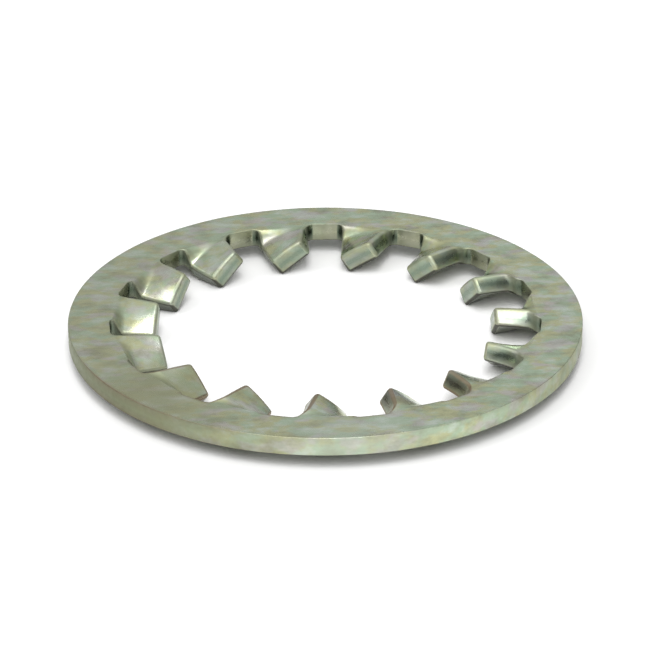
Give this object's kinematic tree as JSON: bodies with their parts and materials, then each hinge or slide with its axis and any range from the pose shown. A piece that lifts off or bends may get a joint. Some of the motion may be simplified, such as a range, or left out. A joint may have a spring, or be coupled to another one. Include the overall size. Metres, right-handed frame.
{
  "type": "internal tooth lock washer",
  "caption": "Flat steel ring with twisted teeth on its inner edge, which bite into a screw head or nut and keep it from turning loose.",
  "frame": {"origin": "on the washer's axis, at the height of the lowest tooth corners, which it stands on", "axes": "+Z along the washer's axis, upwards as it lies; one tooth points to -Y"},
  "size_m": [0.038, 0.038, 0.0028],
  "materials": {
    "zinc_plated_steel": "dull zinc plating over rolled spring steel"
  },
  "bodies": {
    "root": {"lock_washer": "zinc_plated_steel"}
  },
  "joints": []
}
